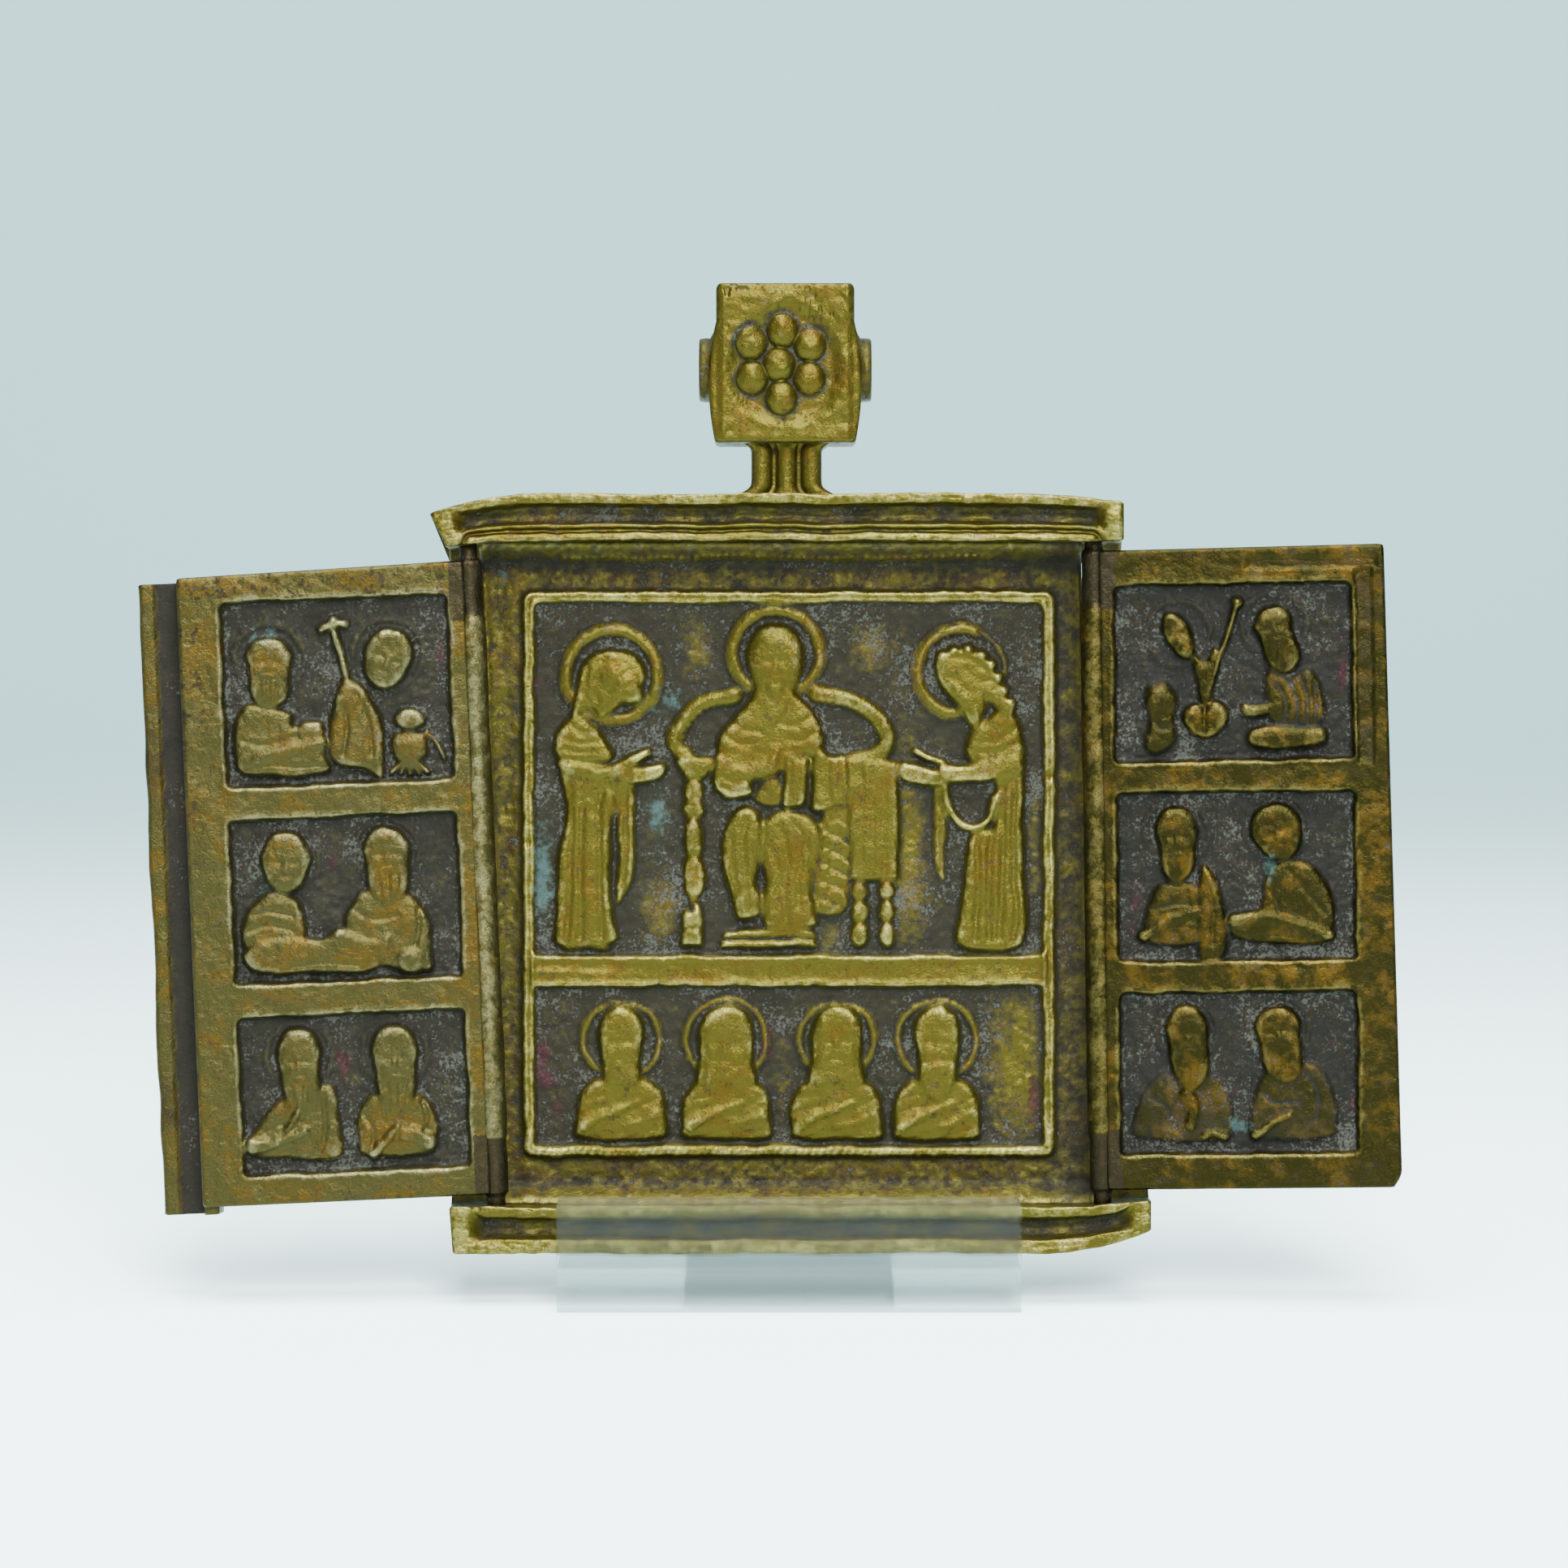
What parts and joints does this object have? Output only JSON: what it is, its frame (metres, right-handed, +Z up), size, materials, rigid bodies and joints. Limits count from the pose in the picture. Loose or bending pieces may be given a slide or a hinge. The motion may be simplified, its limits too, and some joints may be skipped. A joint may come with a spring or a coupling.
{
  "type": "folding travel icon",
  "caption": "Cast brass travel icon with relief figures, a pierced rosette head and two hinged wings, standing in a clear cradle.",
  "frame": {"origin": "underside of the cradle's foot, on the centre line, on the surface it stands on", "axes": "+X to the right as seen from the front, +Y to the back, +Z up; the icon faces -Y and leans back 7 degrees"},
  "size_m": [0.1026, 0.0314, 0.0822],
  "materials": {
    "centre_brass": "worn satin brass with dark patina in the recesses",
    "wing_brass": "worn satin brass with dark patina in the recesses",
    "clear_acrylic": "clear polished"
  },
  "bodies": {
    "icon_and_cradle": {"centre_leaf": "centre_brass", "clear_cradle": "clear_acrylic"},
    "left_wing": {"left_wing": "wing_brass"},
    "right_wing": {"right_wing": "wing_brass"}
  },
  "joints": [
    {"name": "left_wing_hinge", "type": "hinge", "parent": "icon_and_cradle", "child": "left_wing", "pos_m": [-0.02486, 0.00048, 0.03381], "axis": [-0.0433, 0.1218, 0.9916], "range_deg": [0, 177]},
    {"name": "right_wing_hinge", "type": "hinge", "parent": "icon_and_cradle", "child": "right_wing", "pos_m": [0.0251, 0.00049, 0.03383], "axis": [0.014, -0.1219, -0.9924], "range_deg": [0, 175]}
  ]
}
